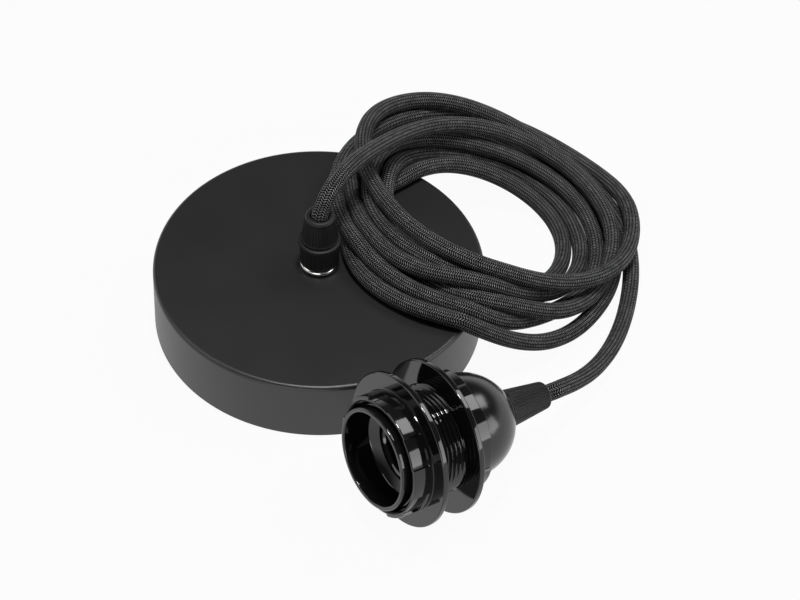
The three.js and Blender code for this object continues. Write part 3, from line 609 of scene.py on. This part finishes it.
# Pushes the cord's nodes out of the floor, the rose and its grip
def keepOffSolids(nodes):
    thick = cord["radius"]
    edge = rose["edge"]
    nodes[:, 2] = np.maximum(nodes[:, 2], thick)
    reach = np.hypot(nodes[:, 0], nodes[:, 1]) + 1e-9
    outside = reach - (rose["radius"] - edge)
    above = nodes[:, 2] - (rose["height"] - edge)
    corner = (outside > 0) & (above > 0)
    gap = np.where(corner, np.hypot(outside, above), np.maximum(outside, above))
    push = np.maximum(thick + edge - gap, 0)
    push[:settling["insideRose"]] = 0
    sideways = np.where(corner, outside / np.maximum(gap, 1e-9), (outside >= above) * 1.0)
    upwards = np.where(corner, above / np.maximum(gap, 1e-9), (outside < above) * 1.0)
    nodes[:, :2] += nodes[:, :2] / reach[:, None] * (sideways * push)[:, None]
    nodes[:, 2] += upwards * push
    reach = np.hypot(nodes[:, 0], nodes[:, 1]) + 1e-9
    cap = gripBulk["capRadius"] - (nodes[:, 2] - gripBulk["capFoot"]) * gripBulk["taper"]
    bulk = np.where(nodes[:, 2] < gripBulk["wideTop"], gripBulk["wideRadius"],
                    np.where(nodes[:, 2] < gripBulk["top"], cap, 0))
    close = (reach < bulk + thick) & (bulk > 0)
    close[:settling["insideGrip"]] = False
    nodes[close, :2] *= ((bulk[close] + thick) / reach[close])[:, None]
    return nodes


# How far each node moves when the cord straightens over this many nodes
def bendOut(nodes, stride):
    near, middle, far, end = stride, 2 * stride, 3 * stride, 4 * stride
    out = np.zeros_like(nodes)
    out[middle:-middle] = (4 * nodes[near:-far] + 4 * nodes[far:-near] - 6 * nodes[middle:-middle]
                           - nodes[:-end] - nodes[end:])
    return out


# Evens the links' lengths and straightens the cord
def relaxed(nodes):
    links = np.diff(nodes, axis=0)
    lengths = np.linalg.norm(links, axis=1)
    pull = links * ((lengths - lengths.mean() * settling["slack"]) / lengths * settling["pull"])[:, None]
    nodes[:-1] += pull
    nodes[1:] -= pull
    for stride, strength in settling["stiffness"]:
        nodes = nodes + bendOut(nodes, stride) * strength
    return nodes


# Pushes apart the pairs of nodes that overlap
def pushApart(nodes, one, two):
    count = len(nodes)
    offset = nodes[one] - nodes[two]
    distance = np.linalg.norm(offset, axis=1) + 1e-9
    overlap = np.maximum(2 * cord["radius"] + settling["gap"] - distance, 0)
    shove = offset / distance[:, None] * (overlap * settling["push"])[:, None]
    touches = np.bincount(one, overlap > 0, count) + np.bincount(two, overlap > 0, count)
    for axis in range(3):
        moved = np.bincount(one, shove[:, axis], count) - np.bincount(two, shove[:, axis], count)
        nodes[:, axis] += moved / np.sqrt(np.maximum(1, touches))


# Lets the cord sink, straighten and push its own turns apart, near where the table puts it
def settled(line):
    nodes = evened(line, settling["nodeStep"])
    wanted = nodes.copy()
    count = len(nodes)
    speed = np.zeros_like(nodes)
    held = np.zeros(count, bool)
    held[:settling["heldStart"]] = True
    held[-settling["heldEnd"]:] = True
    for turnNumber in range(settling["rounds"]):
        before = nodes.copy()
        nodes = nodes + speed * settling["carry"]
        nodes[:, 2] -= settling["sink"]
        calm = turnNumber >= settling["rounds"] - settling["calmRounds"]
        nodes += (wanted - nodes) * settling["calmHold" if calm else "hold"]
        if turnNumber % settling["searchEvery"] == 0:
            squares = ((nodes[:, None] - nodes[None]) ** 2).sum(-1)
            one, two = np.nonzero(np.triu(squares < settling["searchReach"] ** 2, settling["neighbours"]))
        for _ in range(settling["passes"]):
            nodes = relaxed(nodes)
            pushApart(nodes, one, two)
            nodes = keepOffSolids(nodes)
            nodes[held] = before[held]
        speed = np.clip((nodes - before) * settling["drag"], -settling["topSpeed"], settling["topSpeed"])
    return nodes


# Points, faces and UVs of a tube along an even line: u runs round it, v is its length in metres
def tubeMesh(line, radius, sides):
    ahead = np.gradient(line, axis=0)
    ahead /= np.linalg.norm(ahead, axis=1)[:, None]
    across = np.zeros_like(line)
    first = np.cross(ahead[0], [0.3, 1, 0])  # any way that isn't along its start
    across[0] = first / np.linalg.norm(first)
    for i in range(1, len(line)):
        side = across[i - 1] - ahead[i] * (across[i - 1] @ ahead[i])
        across[i] = side / np.linalg.norm(side)
    other = np.cross(ahead, across)
    angles = evenAngles(sides)
    ring = (across[:, None] * np.cos(angles)[None, :, None] + other[:, None] * np.sin(angles)[None, :, None])
    points = (line[:, None] + ring * radius).reshape(-1, 3)
    faces = gridFaces(len(line), sides, closed=False)
    run = np.concatenate([[0], np.cumsum(np.linalg.norm(np.diff(line, axis=0), axis=1))]) / 1000
    u = np.arange(sides) / sides
    uvs = np.zeros((len(line) - 1, sides, 4, 2))
    uvs[..., 0, 0] = uvs[..., 3, 0] = u
    uvs[..., 1, 0] = uvs[..., 2, 0] = u + 1 / sides
    uvs[..., 0, 1] = uvs[..., 1, 1] = run[:-1, None]
    uvs[..., 2, 1] = uvs[..., 3, 1] = run[1:, None]
    ends = [tuple(range(sides))[::-1], tuple(range(len(points) - sides, len(points)))]
    endUvs = np.zeros((2 * sides, 2))
    return points, faces + ends, np.vstack([uvs.reshape(-1, 2), endUvs])


def makeCord():
    coil = coilRoute()
    end = onHolder([(0, 0, along) for along in cordEnd])
    lead = curved(cordLead + [tuple(coil[0])], cord["routeSteps"])[:-1]
    tail = curved([tuple(coil[-1])] + cordTail + [tuple(point) for point in end], cord["routeSteps"])
    nodes = settled(np.vstack([lead, coil[:-1], tail]))
    line = evened(curved(nodes, cord["lineSteps"]), cord["ringStep"])
    points, faces, uvs = tubeMesh(line, cord["radius"], cord["sides"])
    piece = addPiece("braided_cord", points, faces, "braid_finish",
                     ["cord_from_rose", "cord_coil", "cord_to_holder"], sharp=60, uvs=uvs)


# Lamp holder's barrel, threaded outside for the rings and inside for the lamp
barrel = {
    "threadRadius": 19.2,
    "threadDepth": 0.95,
    "threadPitch": 1.72,
    "threadRows": 8,        # rows of points in one pitch
    "front": 8.0,           # ends of the outer thread
    "rear": -18.5,
    "neck": 17.0,
    "end": -22.6,
    "lipRadius": 18.2,
    "lipFront": 12.4,
    "lipRounding": 0.5,
    "bore": 16.6,
    "boreRows": (7.5, 2.6),
    "lampRadius": 13.35,
    "lampDepth": 0.95,
    "lampPitch": 3.63,
    "lampRows": 14,
    "steps": 180,
}
threadFade = {"length": 1.2, "share": 0.9}  # how a thread's ends run out


# Radius change of a rounded screw thread between two heights
def threadShape(low, high, pitch, depth, inward=1):
    def shape(angles, reach, height):
        if height <= low or height >= high:
            return reach
        phase = (height / pitch + angles / (2 * math.pi)) % 1
        wave = np.abs(2 * phase - 1)
        wave = wave * wave * (3 - 2 * wave)
        fade = min(1, (high - height) / threadFade["length"], (height - low) / threadFade["length"])
        ending = inward * depth * (1 - fade) * threadFade["share"]
        return reach - inward * depth * (1 - wave) * fade - ending
    return shape


def makeBarrel():
    front, rear, end = barrel["front"], barrel["rear"], barrel["end"]
    lipRadius, lipFront, rounding = barrel["lipRadius"], barrel["lipFront"], barrel["lipRounding"]
    bore, lampRadius, lampDepth = barrel["bore"], barrel["lampRadius"], barrel["lampDepth"]
    threadStep = barrel["threadPitch"] / barrel["threadRows"]
    lampStep = barrel["lampPitch"] / barrel["lampRows"]
    neck = [(barrel["neck"], end), (barrel["neck"], rear - 0.01)]
    threads = [(barrel["threadRadius"], height) for height in np.arange(rear, front + 0.001, threadStep)]
    lip = [
        (lipRadius - 0.3, front + 0.2), (lipRadius, front + 0.5),
        *arc(lipRadius - rounding, lipFront - rounding, rounding, 0, 90, 6),
        *arc(bore + rounding, lipFront - rounding, rounding, 90, 180, 6),
        *[(bore, row) for row in barrel["boreRows"]], (bore - 0.4, 2), (lampRadius + 0.5, 0.4),
    ]
    lamp = [(lampRadius, height) for height in np.arange(0, end, -lampStep)]
    profile = neck + threads + lip + lamp + [(lampRadius, end)]
    outer = threadShape(rear - 0.2, front + 0.1, barrel["threadPitch"], barrel["threadDepth"])
    inner = threadShape(end, 0.01, barrel["lampPitch"], lampDepth, -1)
    outerRows = range(len(neck), len(neck) + len(threads))
    lampStart = outerRows.stop + len(lip)
    lampRows = range(lampStart, lampStart + len(lamp))

    def shape(index, angles, reach, height):
        if index in outerRows:
            return outer(angles, reach, height)
        if index in lampRows:
            return inner(angles, reach - lampDepth, height)
        return reach

    points = turnedPoints(profile, evenAngles(barrel["steps"]), shape)
    addPiece("holder_threaded_barrel", onHolder(points), gridFaces(len(profile), barrel["steps"]),
             "gloss_black", ["holder_barrel"], sharp=40, flip=True)


# Shade rings: a flange, and a hub whose six lugs stand out between recesses
ring = {
    "bore": 19.5,
    "hub": 21.6,
    "radius": 27.5,
    "flange": 2.1,
    "hubLength": 7.8,
    "edge": 0.5,
    "recess": 0.8,
    "recessStart": 1.4,     # from the flange
    "recessSlope": 0.12,
    "fillet": (0.45, 0.13),         # its size, and its middle's distance from the corner
    "chamfer": (0.45, 0.16, 0.12),  # its size, and its middle's distances from the end and the side
    "boreRow": 4,
    "lugs": 6,
    "lugEdge": 0.5,         # degrees, as is the step
    "lugStep": 3,
    "gap": 12.6,            # between the faces of the two flanges
}
lugWidth = 180 // ring["lugs"]  # degrees, and a recess is as wide


# Angles with a close pair at each lug's sides
def ringAngles():
    angles = []
    for start in range(0, 360, lugWidth):
        angles += [start - ring["lugEdge"], start + ring["lugEdge"]]
        angles += [start + step for step in range(ring["lugStep"], lugWidth - 2, ring["lugStep"])]
    return np.radians(angles)


def makeRing(name, node, body, front):
    bore, hub, radius, flange, edge = ring["bore"], ring["hub"], ring["radius"], ring["flange"], ring["edge"]
    length = flange + ring["hubLength"]
    fillet, filletMiddle = ring["fillet"]
    chamfer, chamferRise, chamferIn = ring["chamfer"]
    recessStart = flange + ring["recessStart"]
    profile = [
        (bore, 0), (hub, 0), (radius - edge, 0),
        *arc(radius - edge, edge, edge, -90, 0, 5),
        *arc(radius - edge, flange - edge, edge, 0, 90, 6),
        (hub + fillet, flange), (hub + filletMiddle, flange + filletMiddle), (hub, flange + fillet),
        (hub, recessStart - ring["recessSlope"]),
    ]
    lugRows = range(len(profile), len(profile) + 4)
    profile += [
        (hub, recessStart + ring["recessSlope"]), (hub, length - chamfer),
        (hub - chamferIn, length - chamferRise), (hub - chamfer, length),
        (bore + 0.7, length), (bore + 0.2, length - 0.4), (bore, length - 0.9), (bore, ring["boreRow"]),
    ]
    firstLug = 0 if front else lugWidth

    def shape(index, angles, reach, height):
        if index in lugRows:
            place = (np.degrees(angles) - firstLug) % (2 * lugWidth)
            return np.where(place < lugWidth, reach, reach - ring["recess"])
        return reach

    angles = ringAngles()
    points = turnedPoints(profile, angles, shape)
    if not front:
        points[:, 2] = -ring["gap"] - points[:, 2]
    addPiece(name, onHolder(points), gridFaces(len(profile), len(angles)), "gloss_black",
             [node], body=body, sharp=30, flip=front)


# Lamp holder's dome
dome = {
    "radius": 18.4,
    "front": -18.8,
    "start": -25,           # where it begins to round
    "height": 17.2,
    "boss": 7.2,
    "bossRear": -42.8,
    "bore": 5.2,
    "wall": 1.1,
    "crownWall": 2.2,
    "bevel": 0.35,
    "sideRows": (-22, -27.5),
    "rows": (30, 12),       # rows of points over the round, outside and inside
    "steps": 180,
}


def makeDome():
    radius, front, start = dome["radius"], dome["front"], dome["start"]
    boss, bossRear, bore = dome["boss"], dome["bossRear"], dome["bore"]
    wall, crownWall, bevel = dome["wall"], dome["crownWall"], dome["bevel"]
    outerRows, innerRows = dome["rows"]
    sideFront, sideRear = dome["sideRows"]
    side = dome["height"] / math.sqrt(1 - (boss / radius) ** 2)
    last = math.acos(boss / radius)
    outer = [(radius * math.cos(a), start - side * math.sin(a)) for a in np.linspace(0, last, outerRows)]
    inner = [((radius - crownWall) * math.cos(a), start - (side - crownWall) * math.sin(a))
             for a in np.linspace(last, 0.1, innerRows)]
    profile = [
        (radius - wall, front), (radius - bevel, front), (radius, front - bevel), (radius, sideFront),
        *outer,
        (boss + 0.1, start - dome["height"] - 0.1), (boss, bossRear + 0.15), (boss - 0.15, bossRear),
        (bore, bossRear), (bore, bossRear + crownWall),
        *inner,
        (radius - wall, sideRear), (radius - wall, sideFront),
    ]
    points = turnedPoints(profile, evenAngles(dome["steps"]))
    addPiece("holder_dome", onHolder(points), gridFaces(len(profile), dome["steps"]), "dome_black",
             ["holder_cap"])


# CAD nodes that stay, by finish
keptNodes = {
    "zinc_finish": ["ceiling_bracket", "hollow_nipple", "bracket_nut", "rose_inner_nut",
                    "holder_terminal_screw_live", "holder_terminal_screw_neutral"],
    "brass_finish": ["terminal_screw_live", "terminal_screw_neutral", "terminal_screw_spare", "earth_washer",
                     "earth_screw", "centre_contact", "side_contact", "holder_terminal_live",
                     "holder_terminal_neutral"],
    "braid_finish": ["rose_cord_tail", "holder_cord_tail"],
    "core_brown": ["rose_live_core", "holder_live_core"],
    "core_blue": ["rose_neutral_core", "holder_neutral_core"],
    "core_green": ["earth_core"],
    "block_finish": ["terminal_block"],
    "carrier_finish": ["contact_carrier"],
    "matt_black": ["holder_grip_body"],
}


def dressKeptNodes():
    for finish, nodeNames in keptNodes.items():
        for nodeName in nodeNames:
            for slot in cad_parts[nodeName].material_slots:
                slot.material = finishes[finish]


# Floor and world: white all round, and darker overhead as over a product table
studio = {
    "floorHalf": 3.0,       # metres
    "floorTone": (0.45, 0.47),
    "floorNoise": (4, 2),   # scale and detail
    "floorRoughness": 0.9,
    "floorSpecular": 0.1,
    "floorGlow": 0.95,      # share of plain white that the camera and reflections see
    "horizon": 1.0,
    "horizonTop": 0.12,     # heights where the white ends and the dark begins
    "zenith": 0.07,
    "zenithStart": 0.42,
    "fill": 0.04,           # how much of the world lights the set
}


def makeFloor():
    half = studio["floorHalf"]
    corners = [(-half, -half, 0), (half, -half, 0), (half, half, 0), (-half, half, 0)]
    mesh = bpy.data.meshes.new("floor")
    mesh.from_pydata(corners, [], [(0, 1, 2, 3)])
    floor = bpy.data.objects.new("floor", mesh)
    bpy.context.scene.collection.objects.link(floor)
    finish = Finish("floor_finish")
    dark, light = studio["floorTone"]
    finish.tint(finish.noise(*studio["floorNoise"]), (dark,) * 3, (light,) * 3)
    finish.set({"Roughness": studio["floorRoughness"], "Specular IOR Level": studio["floorSpecular"]})
    glow = finish.add("ShaderNodeEmission", Strength=1.0)
    glow.inputs["Color"].default_value = (1, 1, 1, 1)
    mix = finish.add("ShaderNodeMixShader")
    finish.links.new(finish.maths("MULTIPLY", finish.seenRays(), studio["floorGlow"]), mix.inputs[0])
    finish.links.new(finish.shader.outputs[0], mix.inputs[1])
    finish.links.new(glow.outputs[0], mix.inputs[2])
    finish.links.new(mix.outputs[0], finish.nodes["Material Output"].inputs["Surface"])
    mesh.materials.append(finish.material)


def makeWorld():
    world = bpy.data.worlds.new("studio_world")
    bpy.context.scene.world = world
    world.use_nodes = True
    sky = Nodes(world.node_tree)
    background = sky.nodes["Background"]
    place = sky.add("ShaderNodeTexCoord")
    split = sky.add("ShaderNodeSeparateXYZ")
    ramp = sky.add("ShaderNodeValToRGB")
    white, dark = ramp.color_ramp.elements
    white.position = studio["horizonTop"]
    white.color = (studio["horizon"],) * 3 + (1,)
    dark.position = studio["zenithStart"]
    dark.color = (studio["zenith"],) * 3 + (1,)
    sky.links.new(place.outputs["Generated"], split.inputs[0])
    sky.links.new(split.outputs["Z"], ramp.inputs[0])
    sky.links.new(ramp.outputs["Color"], background.inputs["Color"])
    strength = sky.maths("MULTIPLY_ADD", sky.seenRays(), 1 - studio["fill"], studio["fill"])
    sky.links.new(strength, background.inputs["Strength"])


# Lamps: direction from the set, distance in metres, width and height, power in watts
softboxes = {
    "box_top": ((0.02, -0.02, 1.0), 1.35, 0.24, 0.18, 12.5),
    "box_back_right": ((0.54, 0.31, 0.78), 1.4, 0.62, 0.44, 4.2),
    "box_right": ((0.90, -0.31, 0.34), 1.4, 0.75, 0.60, 4.8),
    "box_left": ((-0.72, -0.06, 0.69), 1.5, 0.90, 0.70, 4),
    "box_front": ((-0.20, -0.95, 0.26), 1.6, 1.00, 0.35, 4),
}
lampsAim = (35, 0, 20)


def makeLamps():
    target = Vector(metres([lampsAim])[0])
    for name, (direction, distance, width, height, power) in softboxes.items():
        light = bpy.data.lights.new(name, "AREA")
        light.shape = "RECTANGLE"
        light.size = width
        light.size_y = height
        light.energy = power
        lamp = bpy.data.objects.new(name, light)
        towards = Vector(direction).normalized()
        lamp.location = target + towards * distance
        lamp.rotation_mode = "QUATERNION"
        lamp.rotation_quaternion = towards.to_track_quat("Z", "Y")
        lamp.visible_camera = False
        bpy.context.scene.collection.objects.link(lamp)


makeCamera()
makeCord()
makeRose()
makeCollar()
makeRoseGrip()
makeHolderGrip()
print("rose and grips")
makeBarrel()
makeRing("front_shade_ring", "shade_ring_front", "front_ring", True)
makeRing("rear_shade_ring", "shade_ring_rear", "rear_ring", False)
makeDome()
print("lamp holder")
dressKeptNodes()
makeFloor()
makeWorld()
makeLamps()
print("studio")
